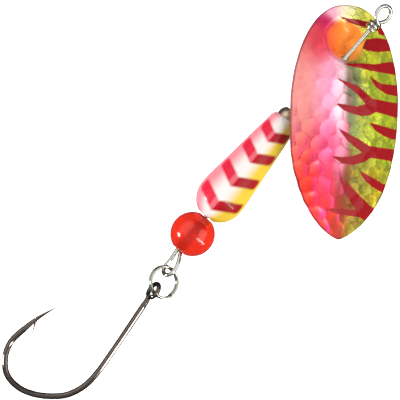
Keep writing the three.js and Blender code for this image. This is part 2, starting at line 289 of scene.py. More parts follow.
def hammering(x, y):
    """How hard the blows are: hard at the tail and the lower left, softer at the head."""
    low = np.clip((-7 - y) / 9, 0, 1)
    right = np.clip((x + 2) / 5, 0, 1)
    middle = np.exp(-((x / MIDDLE_WIDTH) ** 2)) * np.clip(-y / 4, 0, 1)
    hardest = np.max([low, RIGHT_BLOW * right, MIDDLE_BLOW * middle], axis=0)
    return LIGHT_BLOW + (1 - LIGHT_BLOW) * hardest


def hammered(x, y):
    """Each blow leaves a shallow dish with a soft ridge round it, in millimetres."""
    reach, gap, tone, _ = struck(x, y)
    off_ridge = RIDGE_DEPTH + (1 - RIDGE_DEPTH) * np.clip(gap * RIDGE_STEEPNESS, 0, 1)
    depth = DIMPLE_DISH * (np.minimum(reach, DISH_REACH) ** 2 - 1) * off_ridge
    return depth * hammering(x, y) * (1 + UNEVEN_DEPTH * tone)


bpy.ops.object.select_all(action="DESELECT")
bpy.ops.mesh.primitive_circle_add(vertices=BLADE_SIDES, radius=1, fill_type="NOTHING")
blade = bpy.context.object
blade.name = blade.data.name = "hammered_blade"
bpy.ops.object.mode_set(mode="EDIT")
bpy.ops.mesh.select_all(action="SELECT")
for ring_left in range(BLADE_RINGS - 1, 0, -1):
    bpy.ops.mesh.extrude_region_move()
    share = ring_left / (ring_left + 1)
    bpy.ops.transform.resize(value=(share, share, 1), center_override=(0, 0, 0))
bpy.ops.mesh.extrude_region_move()
bpy.ops.mesh.merge(type="CENTER")
bpy.ops.mesh.select_all(action="SELECT")
bpy.ops.mesh.normals_make_consistent(inside=False)
bpy.ops.object.mode_set(mode="OBJECT")
disc = np.array([v.co for v in blade.data.vertices])
reach, turn = np.hypot(disc[:, 0], disc[:, 1]), np.arctan2(disc[:, 1], disc[:, 0])
edge_x, edge_y = on_outline(turn)
x = BLADE_MIDDLE[0] + reach * (edge_x - BLADE_MIDDLE[0])
y = BLADE_MIDDLE[1] + reach * (edge_y - BLADE_MIDDLE[1])
z = crown(x, y) - crown(np.zeros(1), np.zeros(1)) + hammered(x, y)
blade.data.vertices.foreach_set("co", np.stack([x, y, z], 1).ravel())

# The sheet's thickness, its edge and the pierced hole.
pick(blade)
for _ in ("back", "face", "edge"):  # room for the three coverings that are put on below
    blade.data.materials.append(None)
sheet = blade.modifiers.new("sheet", "SOLIDIFY")
sheet.thickness = SHEET
sheet.offset = 0
sheet.material_offset = 1
sheet.material_offset_rim = 2
bpy.ops.object.modifier_apply(modifier=sheet.name)

to_row = Matrix((BLADE_SIDE, BLADE_UP, BLADE_NORMAL)).transposed().to_4x4()
to_row.translation = Vector((0, 0, HOLE_HEIGHT))
blade.data.transform(Matrix.Scale(MM, 4) @ to_row)
bpy.ops.object.select_all(action="DESELECT")
bpy.ops.mesh.primitive_cylinder_add(
    vertices=40, radius=HOLE_RADIUS * MM, depth=5 * MM, location=(0, 0, HOLE_HEIGHT * MM)
)
drill = bpy.context.object
pick(blade)
pierce = blade.modifiers.new("pierce", "BOOLEAN")
pierce.operation = "DIFFERENCE"
pierce.solver = "EXACT"
pierce.object = drill
bpy.ops.object.modifier_apply(modifier=pierce.name)
bpy.data.objects.remove(drill)
bpy.ops.object.shade_smooth_by_angle(angle=SMOOTH_ANGLE)

# Airbrushed zones: middle and half-size across and along the blade in millimetres, and colour.
AIRBRUSHED = [
    (-8.5, -6.0, 3.2, 10.5, "#FA9C96"),
    (-7.0, -20.5, 3.6, 6.5, "#EA2A16"),
    (-6.6, 3.4, 2.4, 3.6, "#DC1C3A"),
    (-4.6, 6.9, 1.2, 1.4, "#C4145A"),
    (-5.0, 2.0, 1.3, 2.2, "#E62C44"),
    (-4.3, -5.5, 1.7, 5.0, "#F89CBC"),
    (-3.7, -15.5, 1.8, 4.0, "#EC5886"),
    (-2.8, -22.5, 1.5, 3.0, "#D8305C"),
    (-3.2, -27.5, 3.2, 4.0, "#CC2824"),
    # The pale pearl band down the middle is partly pearl paint and partly a painted highlight where the domed
    # face catches the light.
    (-1.3, -7.0, 0.9, 4.5, "#DEB4C0"),
    (-0.6, -16.5, 0.9, 4.0, "#D4809A"),
    (1.8, -6.5, 1.5, 5.0, "#62664E"),
    (1.2, -23.5, 2.5, 5.0, "#5E2812"),
    (3.2, -11.0, 1.2, 7.0, "#8C9848"),
    (8.0, -9.0, 3.6, 11.0, "#AEC02C"),
    (6.5, 0.5, 3.0, 2.6, "#D2CE32"),
    (6.3, -22.5, 2.8, 4.0, "#BC9026"),
    (1.5, -29.5, 2.4, 2.4, "#963020"),
    (-3.4, 9.3, 2.2, 1.3, "#FFB4CC"),
    (0.6, 9.6, 1.6, 1.2, "#FFF4D0"),
    (5.0, 8.6, 3.2, 2.1, "#FFFF70"),
]
CUP_PAINT_SHADOW_AND_GLINT = [
    # Painted shadow: a brown patch at the cup's upper-left rim.
    (-2.4, 6.2, 0.9, 0.7, "#A84A24"),
    (-3.0, 3.0, 1.9, 3.5, "#EC5034"),
    (0.8, 3.4, 3.0, 3.5, "#F58A30"),
    # Painted highlight: a pale yellow-orange patch at the cup's lower right.
    (3.4, 1.6, 1.3, 1.6, "#F0B050"),
]

# The outline of each brushed stripe, across and along the blade from the hole, in millimetres.
STRIPES = [
    [(-1.5, 7.7), (1.1, 7.5), (4.9, 7.3), (6.4, 7.3), (6.2, 5.8), (4.6, 6.0), (1.2, 6.7)],
    [(7.0, 6.2), (8.0, 6.8), (9.0, 5.8), (8.3, 5.0), (7.1, 5.3)],
    [
        (3.6, 2.3), (4.3, 4.0), (6.7, 4.5), (8.3, 4.5), (12.0, 4.4), (12.0, 2.4), (9.4, 2.4),
        (6.8, 1.9), (4.4, 1.9),
    ],
    [
        (-1.1, -0.9), (3.5, -0.5), (5.9, -0.4), (9.9, 0.5), (13, 0.6), (13, -1.9), (10.4, -1.8),
        (5.2, -1.7), (0.3, -1.2),
    ],
    [
        (4.6, -2.6), (7.7, -3.8), (11.1, -3.6), (13, -3.6), (13, -5.7), (11.1, -5.6), (8.7, -5.5),
        (6.3, -4.5),
    ],
    [
        (-2.2, -3.6), (2.1, -4.6), (3.7, -5.5), (5.5, -6.7), (8.8, -6.8), (11.2, -6.8), (13, -6.7),
        (13, -9.5), (11.3, -9.5), (6.5, -9.0), (4.9, -9.8), (3.1, -10.1), (-0.3, -9.4),
        (-2.3, -8.1), (0, -8.3), (2.2, -8.4), (4.0, -7.8), (2.1, -6.2), (0.3, -5.1),
    ],
    [
        (4.9, -11.0), (8.8, -11.4), (11.0, -11.6), (13, -11.6), (13, -13.5), (11.1, -13.5),
        (8.9, -13.2), (6.4, -12.3),
    ],
    [
        (-1.4, -12.5), (0.8, -13.4), (3.3, -14.3), (5.5, -15.2), (11.0, -15.2), (13, -15.2),
        (13, -17.5), (10.5, -17.4), (6.0, -17.3), (4.5, -18.2), (2.1, -18.9), (-0.1, -18.7),
        (-2.6, -17.5), (-0.2, -17.6), (2.0, -17.3), (3.9, -16.5), (1.9, -15.5), (0.1, -14.2),
    ],
    [
        (3.5, -19.7), (6.4, -20.6), (9.2, -21.5), (13, -22), (13, -24), (8.7, -22.9), (6.8, -22.3),
        (5.2, -21.5),
    ],
    [
        (-0.4, -21.4), (1.8, -22.3), (4.2, -24.0), (7.2, -25.7), (9.8, -27), (9, -30),
        (5.3, -28.0), (0.2, -27.7), (-2.4, -26.9), (0.2, -26.8), (3.6, -26.7), (3.8, -26.5),
        (2.3, -25.2), (0.9, -23.5),
    ],
]


def from_outline(x, y, outline):
    """Distance to a closed outline in millimetres, negative inside it."""
    corners = np.array(outline, float)
    nearest, inside = np.full(len(x), 1e9), np.zeros(len(x), bool)
    for (ax, ay), (bx, by) in zip(corners, np.roll(corners, -1, axis=0)):
        side_x, side_y = bx - ax, by - ay
        along = ((x - ax) * side_x + (y - ay) * side_y) / (side_x**2 + side_y**2)
        along = np.clip(along, 0, 1)
        away = np.hypot(x - ax - along * side_x, y - ay - along * side_y)
        nearest = np.minimum(nearest, away)
        if ay != by:
            crossed = (ay > y) != (by > y)
            inside ^= crossed & (x < (bx - ax) * (y - ay) / (by - ay) + ax)
    return np.where(inside, -nearest, nearest)


def sprayed(x, y, zones):
    """Soft overlapping spray, the share of each zone falling off from its middle."""
    total, paint = np.zeros(len(x)), np.zeros((len(x), 4))
    for middle_x, middle_y, size_x, size_y, hex_code in zones:
        share = np.exp(-(((x - middle_x) / size_x) ** 2) - ((y - middle_y) / size_y) ** 2) + 1e-9
        total += share
        paint += share[:, None] * np.array(linear(hex_code))
    return paint / total[:, None]


CUP_SPRAY_EDGE, CUP_SPRAY_FADE = 4.1, 0.7
RIM_LINE, RIM_LINE_FADE, RIM_LINE_DARK = 0.26, 0.15, 0.55
METAL_SHOWING, METAL_IN_CUP, METAL_AT_HEAD = 0.5, 0.75, 0.5
BLOW_TONE, SOFTEST, RIGHT_SIDE_SOFTER = 0.27, 0.22, 0.6
SHEEN_FROM, SHEEN_WIDTH, SHEEN_MOST, PINK_SIDE_ENDS = 0.25, 0.5, 0.55, 1.5
HEAD_FROM, HEAD_FADE = 6.5, 2
co = np.array([v.co for v in blade.data.vertices]) / MM - np.array([0, 0, HOLE_HEIGHT])
x, y = co @ np.array(BLADE_SIDE), co @ np.array(BLADE_UP)
paint = sprayed(x, y, AIRBRUSHED)
cup_edge = np.hypot(x - CUP_MIDDLE[0], y - CUP_MIDDLE[1])
in_cup = np.clip((CUP_SPRAY_EDGE - cup_edge) / CUP_SPRAY_FADE, 0, 1)
paint = paint * (1 - in_cup[:, None]) + sprayed(x, y, CUP_PAINT_SHADOW_AND_GLINT) * in_cup[:, None]
stripe = np.min([from_outline(x, y, outline) for outline in STRIPES], axis=0)
_, gap, tone, aside = struck(x, y)
strength = (hammering(x, y) - SOFTEST) / (1 - SOFTEST) * np.where(x < 1, 1.0, RIGHT_SIDE_SOFTER)
paint[:, :3] *= (1 + BLOW_TONE * tone * strength)[:, None]
# A painted magenta sheen lies on the right flank of each dimple on the pink side, standing in for the light
# those flats catch.
on_pink_side = np.clip((PINK_SIDE_ENDS - x) / 2, 0, SHEEN_MOST)
painted_sheen = np.clip((aside - SHEEN_FROM) / SHEEN_WIDTH, 0, 1) * strength * on_pink_side
paint = paint * (1 - painted_sheen[:, None]) + np.array(linear("#DE3C78")) * painted_sheen[:, None]
at_head = np.clip((y - HEAD_FROM) / HEAD_FADE, 0, 1)
flake = METAL_SHOWING * (1 - METAL_IN_CUP * in_cup) * (1 - METAL_AT_HEAD * at_head)
# A thin darker line runs round the rim of the face.
round_the_edge = np.linspace(0, 2 * math.pi, 160, endpoint=False)
inside = -from_outline(x, y, np.stack(on_outline(round_the_edge), 1))
rim_darkening = np.clip((RIM_LINE - inside) / RIM_LINE_FADE, 0, 1)
paint[:, :3] *= (1 - RIM_LINE_DARK * rim_darkening)[:, None]
blade.data.attributes.new("airbrush", "FLOAT_COLOR", "POINT").data.foreach_set("color", paint.ravel())
patterns = {
    "stripe": stripe,
    "flake": flake,
    "across": x * (1 - in_cup),
    "crease": gap,
    "blows": strength,
}
for name, values in patterns.items():
    blade.data.attributes.new(name, "FLOAT", "POINT").data.foreach_set("value", values)

# Fluorescent lacquer over plated brass: clear gloss coat, a metallic glow through the colour.
# The face also has a painted glow: it emits a little light in its own colour, standing in for the extra
# brightness of fluorescent dye.
lacquer, tree, shader = finish("airbrushed lacquer on plated brass, clear coated")
airbrush = node(tree, "Attribute", attribute_name="airbrush")
stripe_edge = node(tree, "Attribute", attribute_name="stripe")
place = node(tree, "TexCoord").outputs["Object"]
grain = node(tree, "TexNoise", {"Vector": place, "Scale": 1 / (1.1 * MM), "Detail": 4.0, "Roughness": 0.6})
wavering = node(tree, "Math", {0: grain.outputs["Fac"], 1: 0.3, 2: -0.15}, operation="MULTIPLY_ADD")
edge = node(tree, "Math", {0: stripe_edge.outputs["Fac"], 1: wavering.outputs["Value"]}, operation="ADD")
painted = node(
    tree,
    "MapRange",
    {"Value": edge.outputs["Value"], "From Min": -0.06, "From Max": 0.06, "To Min": 1.0, "To Max": 0.0},
)
cloudy = node(
    tree,
    "MapRange",
    {"Value": grain.outputs["Fac"], "From Min": 0.3, "From Max": 0.7, "To Min": 0.9, "To Max": 1.12},
)
sprayed_ground = node(
    tree,
    "VectorMath",
    {0: airbrush.outputs["Color"], "Scale": cloudy.outputs["Result"]},
    operation="SCALE",
)
# On the chartreuse side the colour is broken into 1.5 mm flats like crinkled foil under the paint: painted
# glints make some flats yellow and painted shade makes others olive.
across = node(tree, "Attribute", attribute_name="across")
foil_side = node(
    tree,
    "MapRange",
    {"Value": across.outputs["Fac"], "From Min": 1.5, "From Max": 4.0, "To Min": 0.0, "To Max": 1.0},
)
crinkle = node(
    tree,
    "TexVoronoi",
    {"Vector": place, "Scale": 1 / (1.5 * MM), "Detail": 1.0, "Randomness": 1.0},
    feature="F1",
)
flat_tone = node(tree, "SeparateColor", {"Color": crinkle.outputs["Color"]})
painted_glint = node(
    tree,
    "MapRange",
    {"Value": flat_tone.outputs["Red"], "From Min": 0.62, "From Max": 0.9, "To Min": 0.0, "To Max": 0.4},
)
# Painted shade: some flats are darkened to olive.
shade = node(
    tree,
    "MapRange",
    {"Value": flat_tone.outputs["Green"], "From Min": 0.6, "From Max": 0.9, "To Min": 0.0, "To Max": 0.55},
)
painted_glint_there = node(
    tree, "Math", {0: painted_glint.outputs["Result"], 1: foil_side.outputs["Result"]}, operation="MULTIPLY"
)
shade_there = node(
    tree, "Math", {0: shade.outputs["Result"], 1: foil_side.outputs["Result"]}, operation="MULTIPLY"
)
painted_glints_on_ground = node(
    tree,
    "Mix",
    {0: painted_glint_there.outputs["Value"], 6: sprayed_ground.outputs["Vector"], 7: linear("#E6DC3C")},
    data_type="RGBA",
)
ground = node(
    tree,
    "Mix",
    {0: shade_there.outputs["Value"], 6: painted_glints_on_ground.outputs[2], 7: linear("#7C8C34")},
    data_type="RGBA",
)
# Painted shade: thin darker lines are laid along the creases between the hammer blows, where the facets turn
# from the light.
crease = node(tree, "Attribute", attribute_name="crease")
blows = node(tree, "Attribute", attribute_name="blows")
uneven_gap = node(
    tree, "Math", {0: grain.outputs["Fac"], 1: 0.5, 2: crease.outputs["Fac"]}, operation="MULTIPLY_ADD"
)
in_crease = node(
    tree,
    "MapRange",
    {"Value": uneven_gap.outputs["Value"], "From Min": 0.26, "From Max": 0.42, "To Min": 0.75, "To Max": 0.0},
)
painted_crease_shade = node(
    tree, "Math", {0: in_crease.outputs["Result"], 1: blows.outputs["Fac"]}, operation="MULTIPLY"
)
# Where the pearl meets the chartreuse the stretched foil shows fine dark cracks, 1.3 mm apart.
crack = node(
    tree,
    "TexVoronoi",
    {"Vector": place, "Scale": 1 / (1.3 * MM), "Randomness": 0.9},
    feature="DISTANCE_TO_EDGE",
)
crack_line = node(
    tree,
    "MapRange",
    {"Value": crack.outputs["Distance"], "From Min": 0.02, "From Max": 0.07, "To Min": 0.8, "To Max": 0.0},
)
crack_left = node(
    tree,
    "MapRange",
    {"Value": across.outputs["Fac"], "From Min": 0.2, "From Max": 1.6, "To Min": 0.0, "To Max": 1.0},
)
crack_right = node(
    tree,
    "MapRange",
    {"Value": across.outputs["Fac"], "From Min": 3.5, "From Max": 7.0, "To Min": 1.0, "To Max": 0.3},
)
crack_patches = node(
    tree,
    "MapRange",
    {"Value": grain.outputs["Fac"], "From Min": 0.42, "From Max": 0.55, "To Min": 0.0, "To Max": 1.0},
)
crack_zone = node(
    tree, "Math", {0: crack_left.outputs["Result"], 1: crack_right.outputs["Result"]}, operation="MULTIPLY"
)
crack_there = node(
    tree, "Math", {0: crack_line.outputs["Result"], 1: crack_zone.outputs["Value"]}, operation="MULTIPLY"
)
cracked = node(
    tree, "Math", {0: crack_there.outputs["Value"], 1: crack_patches.outputs["Result"]}, operation="MULTIPLY"
)
cracked_ground = node(
    tree,
    "Mix",
    {0: cracked.outputs["Value"], 6: ground.outputs[2], 7: linear("#4A4A30")},
    data_type="RGBA",
)
crease_shaded_ground = node(
    tree,
    "Mix",
    {0: painted_crease_shade.outputs["Value"], 6: cracked_ground.outputs[2], 7: linear("#C47C86")},
    data_type="RGBA",
    blend_type="MULTIPLY",
)
both = node(
    tree,
    "Mix",
    {0: painted.outputs["Result"], 6: crease_shaded_ground.outputs[2], 7: linear("#8C0E14")},
    data_type="RGBA",
)
flake_share = node(tree, "Attribute", attribute_name="flake")
metal_share = node(
    tree,
    "MapRange",
    {"Value": painted.outputs["Result"], "To Min": flake_share.outputs["Fac"], "To Max": 0.0},
)
tree.links.new(both.outputs[2], shader.inputs["Base Color"])
tree.links.new(metal_share.outputs["Result"], shader.inputs["Metallic"])
# Painted glow: the face emits a little light in its own colour.
tree.links.new(both.outputs[2], shader.inputs["Emission Color"])
shader.inputs["Emission Strength"].default_value = 0.15
shader.inputs["Roughness"].default_value = 0.3
shader.inputs["Specular IOR Level"].default_value = 0.12
shader.inputs["Coat Weight"].default_value = 0.14
shader.inputs["Coat Roughness"].default_value = 0.06

# Nickel plate left unpolished on the hammered back: a satin silver that spreads the light.
plate, tree, shader = finish("nickel plate on hammered brass, unpolished")
place = node(tree, "TexCoord").outputs["Object"]
haze = node(tree, "TexNoise", {"Vector": place, "Scale": 1 / (3.0 * MM), "Detail": 3.0})
tone = node(
    tree, "Mix", {0: haze.outputs["Fac"], 6: linear("#D8D4C8"), 7: linear("#B9B3A2")}, data_type="RGBA"
)
tree.links.new(tone.outputs[2], shader.inputs["Base Color"])
shader.inputs["Metallic"].default_value = 0.6
shader.inputs["Roughness"].default_value = 0.3
# The sheared edge shows a dark line of worn brass.
sheared, tree, shader = finish("worn brass, sheared edge")
place = node(tree, "TexCoord").outputs["Object"]
worn = node(tree, "TexNoise", {"Vector": place, "Scale": 1 / (0.8 * MM)})
tone = node(
    tree, "Mix", {0: worn.outputs["Fac"], 6: linear("#8A5A34"), 7: linear("#B07A46")}, data_type="RGBA"
)
tree.links.new(tone.outputs[2], shader.inputs["Base Color"])
shader.inputs["Metallic"].default_value = 1.0
shader.inputs["Roughness"].default_value = 0.35
for side, covering in enumerate((plate, lacquer, sheared)):
    blade.data.materials[side] = covering
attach(blade, "blade")
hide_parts("spinner_blade")

# ---------------------------------------------------------------- bearing bead
# A small turned brass ball with a bore. It is loose on the wire, sits in the rounded mouth of the
# weight and lets the blade turn freely; only its worn top shows.

WEIGHT_FOOT = turning_place("weight_spin")
WEIGHT_LEAN = math.radians(-1.2)
BEARING_RADIUS = 1.95
BEARING_Z = 26.88
WEIGHT_BORE = 1.32
LEANING = Matrix.Translation(WEIGHT_FOOT * MM) @ Matrix.Rotation(WEIGHT_LEAN, 4, "Y") @ Matrix.Scale(MM, 4)


def round_profile(middle, across, along, start, end, count):
    """Points [radius, height] on an arc between two angles in degrees."""
    angles = [math.radians(start + (end - start) * step / count) for step in range(count + 1)]
    return [(across * math.cos(a), middle + along * math.sin(a)) for a in angles]


def turned(name, profile, sides=96):
    """A lathe-turned piece: one ring is drawn out ring by ring along the profile, then closed."""
    bpy.ops.object.select_all(action="DESELECT")
    bpy.ops.mesh.primitive_circle_add(vertices=sides, radius=1, fill_type="NOTHING")
    piece = bpy.context.object
    piece.name = piece.data.name = name
    first_radius, first_height = profile[0]
    first_ring = Matrix.Diagonal((first_radius, first_radius, 1, 1))
    piece.data.transform(Matrix.Translation((0, 0, first_height)) @ first_ring)
    bpy.ops.object.mode_set(mode="EDIT")
    bpy.ops.mesh.select_all(action="SELECT")
    for (radius, height), (next_radius, next_height) in zip(profile, profile[1:]):
        bpy.ops.mesh.extrude_region_move(TRANSFORM_OT_translate={"value": (0, 0, next_height - height)})
        share = next_radius / radius
        bpy.ops.transform.resize(value=(share, share, 1), center_override=(0, 0, next_height))
    bpy.ops.mesh.select_all(action="DESELECT")
    bpy.ops.mesh.select_non_manifold()
    bpy.ops.mesh.bridge_edge_loops()
    bpy.ops.mesh.select_all(action="SELECT")
    bpy.ops.mesh.normals_make_consistent(inside=False)
    bpy.ops.object.mode_set(mode="OBJECT")
    bpy.ops.object.shade_smooth_by_angle(angle=SMOOTH_ANGLE)
    return piece


bore_edge = math.degrees(math.acos(WEIGHT_BORE / BEARING_RADIUS))
ball = round_profile(BEARING_Z, BEARING_RADIUS, BEARING_RADIUS, -bore_edge, bore_edge, 24)
bearing = turned("brass_bearing", ball, 64)
bearing.data.transform(LEANING)
# Turned brass, worn in water: brown-grey with duller spots.
worn_brass, tree, shader = finish("turned brass, tarnished")
place = node(tree, "TexCoord").outputs["Object"]
spots = node(tree, "TexNoise", {"Vector": place, "Scale": 1 / (0.5 * MM), "Detail": 5.0})
tone = node(
    tree, "Mix", {0: spots.outputs["Fac"], 6: linear("#A08C74"), 7: linear("#D8C2A4")}, data_type="RGBA"
)
tree.links.new(tone.outputs[2], shader.inputs["Base Color"])
shader.inputs["Metallic"].default_value = 1.0
shader.inputs["Roughness"].default_value = 0.32
bearing.data.materials.append(worn_brass)
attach(bearing, "bearing")
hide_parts("bearing_bead")

# ---------------------------------------------------------------- weight
# A teardrop body turned from brass bar and bored for the wire. It is dipped in pearl white,
# airbrushed pink down one side and yellow down the other, masked with red chevrons and lacquered.

WEIGHT_WIDEST, WEIGHT_RADIUS, WEIGHT_NOSE, WEIGHT_RIM = 8.34, 4.4, 4.7, 1.65
WEIGHT_TOP, WEIGHT_TOP_RADIUS, SEAT_RADIUS = 26.44, 2.12, 2.04
rim = math.degrees(math.acos(WEIGHT_RIM / WEIGHT_RADIUS))
seat_from = math.degrees(math.asin((WEIGHT_TOP - BEARING_Z) / SEAT_RADIUS))
seat_to = -math.degrees(math.acos(WEIGHT_BORE / SEAT_RADIUS))
FLANK = [
    (WEIGHT_RADIUS, WEIGHT_WIDEST), (4.36, 9.6), (4.22, 11), (3.81, 14.8), (3.4, 18.6), (2.76, 24.5),
    (2.63, 25.5), (2.42, 26.1), (WEIGHT_TOP_RADIUS, WEIGHT_TOP),
]
BORE_ENDS = (15.0, 4.35)
flank = curved_through([(radius, 0, height) for radius, height in FLANK], 12)
profile = round_profile(WEIGHT_WIDEST, WEIGHT_RADIUS, WEIGHT_NOSE, -rim, 0, 32)
profile += [(p.x, p.z) for p in flank[1:]]
profile += round_profile(BEARING_Z, SEAT_RADIUS, SEAT_RADIUS, seat_from, seat_to, 8)[1:]
profile += [(WEIGHT_BORE, height) for height in BORE_ENDS]
weight = turned("painted_weight", profile, 160)

# Chevrons: height of each point of the V, and how far the two arms rise round the body.
CHEVRONS = [22.2, 17.35, 11.95, 6.5]
ARM_RISE_LEFT, ARM_RISE_RIGHT = 0.5, 0.62
ARM_HALF, ARM_CORNER, ARM_DROOP = 1.08, 0.7, 0.05
ARM_ANGLE = math.radians(66)
co = np.array([v.co for v in weight.data.vertices])
around = np.arctan2(co[:, 0], -co[:, 1])
front = (around + math.pi / 2) % math.pi - math.pi / 2
girth = np.hypot(co[:, 0], co[:, 1])
arc_length = front * girth
rise = np.where(arc_length < 0, -ARM_RISE_LEFT * arc_length, ARM_RISE_RIGHT * arc_length)
rise = rise * (1 - ARM_DROOP * np.abs(arc_length))
to_arm = np.min([np.abs(co[:, 2] - point - rise) for point in CHEVRONS], axis=0) - ARM_HALF
to_end = (np.abs(front) - ARM_ANGLE) * girth
past_arm, past_end = to_arm + ARM_CORNER, to_end + ARM_CORNER
chevron = np.hypot(np.maximum(past_arm, 0), np.maximum(past_end, 0)) - ARM_CORNER
chevron += np.minimum(np.maximum(past_arm, past_end), 0)
weight.data.attributes.new("chevron", "FLOAT", "POINT").data.foreach_set("value", chevron)
weight.data.attributes.new("around", "FLOAT", "POINT").data.foreach_set("value", np.sin(around))
weight.data.transform(LEANING)

# Enamel under clear gloss: wet-looking, with a soft blend between the airbrushed colours.
enamel, tree, shader = finish("airbrushed enamel, pearl and fluorescent, clear coated")
round_body = node(tree, "Attribute", attribute_name="around").outputs["Fac"]
to_chevron = node(tree, "Attribute", attribute_name="chevron").outputs["Fac"]
place = node(tree, "TexCoord").outputs["Object"]
mist = node(tree, "TexNoise", {"Vector": place, "Scale": 1 / (2.5 * MM), "Detail": 2.0}).outputs["Fac"]
pink_side = node(
    tree,
    "MapRange",
    {"Value": round_body, "From Min": -0.2, "From Max": -0.85, "To Min": 0.0, "To Max": 1.0},
    interpolation_type="SMOOTHSTEP",
)
yellow_side = node(
    tree,
    "MapRange",
    {"Value": round_body, "From Min": 0.05, "From Max": 0.62, "To Min": 0.0, "To Max": 1.0},
    interpolation_type="SMOOTHSTEP",
)
pinked = node(
    tree,
    "Mix",
    {0: pink_side.outputs["Result"], 6: linear("#EDE2DE"), 7: linear("#EC8490")},
    data_type="RGBA",
)
yellowed = node(
    tree,
    "Mix",
    {0: yellow_side.outputs["Result"], 6: pinked.outputs[2], 7: linear("#DDBB30")},
    data_type="RGBA",
)
red_side = node(
    tree,
    "MapRange",
    {"Value": round_body, "From Min": -0.3, "From Max": 0.3, "To Min": 0.0, "To Max": 1.0},
)
red = node(
    tree,
    "Mix",
    {0: red_side.outputs["Result"], 6: linear("#DC1A3C"), 7: linear("#9C0410")},
    data_type="RGBA",
)
joint = node(
    tree,
    "MapRange",
    {"Value": round_body, "From Min": 0.0, "From Max": 0.06, "To Min": 0.38, "To Max": 0.0},
)
joint_left = node(
    tree,
    "MapRange",
    {"Value": round_body, "From Min": -0.25, "From Max": -0.15, "To Min": 0.0, "To Max": 1.0},
)
joint_band = node(
    tree, "Math", {0: joint.outputs["Result"], 1: joint_left.outputs["Result"]}, operation="MULTIPLY"
)
thin_red = node(
    tree,
    "Mix",
    {0: joint_band.outputs["Value"], 6: red.outputs[2], 7: linear("#F7A0A8")},
    data_type="RGBA",
)
fuzz = node(tree, "Math", {0: mist, 1: 0.24, 2: -0.12}, operation="MULTIPLY_ADD")
arm_edge = node(tree, "Math", {0: to_chevron, 1: fuzz.outputs["Value"]}, operation="ADD")
masked = node(
    tree,
    "MapRange",
    {"Value": arm_edge.outputs["Value"], "From Min": -0.26, "From Max": 0.26, "To Min": 1.0, "To Max": 0.0},
)
coat = node(
    tree,
    "Mix",
    {0: masked.outputs["Result"], 6: yellowed.outputs[2], 7: thin_red.outputs[2]},
    data_type="RGBA",
)
tree.links.new(coat.outputs[2], shader.inputs["Base Color"])
shader.inputs["Roughness"].default_value = 0.4
shader.inputs["Specular IOR Level"].default_value = 0.15
shader.inputs["Coat Weight"].default_value = 0.18
shader.inputs["Coat Roughness"].default_value = 0.03
weight.data.materials.append(enamel)
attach(weight, "weight")
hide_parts("weighted_body")

# ---------------------------------------------------------------- red bead
# An 8 mm moulded acrylic bead, clear fluorescent red, with a straight bore for the doubled wire.
# It is loose between the weight and the lower loop.

BEAD_RADIUS, BEAD_BORE, BEAD_CHAMFER = 4.0, 0.84, 0.55
BEAD_Z = turning_place("bead_spin").z
mouth = math.degrees(math.acos((BEAD_BORE + BEAD_CHAMFER) / BEAD_RADIUS))
end = BEAD_RADIUS * math.sin(math.radians(mouth))
profile = round_profile(BEAD_Z, BEAD_RADIUS, BEAD_RADIUS, -mouth, mouth, 48)
profile += [(BEAD_BORE, BEAD_Z + end - BEAD_CHAMFER), (BEAD_BORE, BEAD_Z - end + BEAD_CHAMFER)]
bead = turned("acrylic_bead", profile, 96)
bead.data.transform(Matrix.Scale(MM, 4))
# Clear red acrylic: light passes through and the edge glows lighter than the middle.
acrylic, tree, shader = finish("fluorescent red acrylic, moulded clear")
place = node(tree, "TexCoord").outputs["Object"]
flow = node(tree, "TexNoise", {"Vector": place, "Scale": 1 / (3.0 * MM), "Detail": 1.0})
dye = node(
    tree, "Mix", {0: flow.outputs["Fac"], 6: linear("#E63616"), 7: linear("#DA221A")}, data_type="RGBA"
)
tree.links.new(dye.outputs[2], shader.inputs["Base Color"])
shader.inputs["Roughness"].default_value = 0.15
shader.inputs["IOR"].default_value = 1.49
shader.inputs["Specular IOR Level"].default_value = 0.3
shader.inputs["Transmission Weight"].default_value = 0.55
bead.data.materials.append(acrylic)
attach(bead, "bead")
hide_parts("red_bead")

# ---------------------------------------------------------------- split ring
# Two turns of 0.5 mm nickel-plated steel wire wound flat against each other. It hangs in the
# lower loop and holds the hook's eye.

RING_WIRE, RING_RADIUS, RING_PITCH = 0.5, 2.8, 0.54
RING_TURNS, TURN_STEPS = 2, 72
RING_MIDDLE = sum(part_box("split_ring"), Vector()) / 2 / MM
RING_FACING = Vector((0, 0, 1)).rotation_difference(Vector((0.389, -0.857, 0.337)))
ring_line = []
for step in range(RING_TURNS * TURN_STEPS + 1):
    turns = step / TURN_STEPS
    angle = turns * 2 * math.pi
    along_axis = RING_PITCH * (turns - RING_TURNS / 2)
    on_ring = Vector((RING_RADIUS * math.cos(angle), RING_RADIUS * math.sin(angle), along_axis))
    ring_line.append(RING_MIDDLE + RING_FACING @ on_ring)
ring = drawn_wire("split_ring_wire", ring_line, [RING_WIRE / 2] * len(ring_line), 4)
# Nickel plate over spring steel: a slightly yellow white metal, mirror bright.
ring.data.materials.append(bright_wire("nickel-plated spring steel", "#C0C2B2", "#A2A596", 2.5))
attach(ring, "ring")
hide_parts("split_ring")

# ---------------------------------------------------------------- single hook
# Forged from 1.12 mm high-carbon wire: the end is ground thin and curled into the eye, the point
# is ground to a needle and the barb cut up from it, then the hook is plated in black nickel.

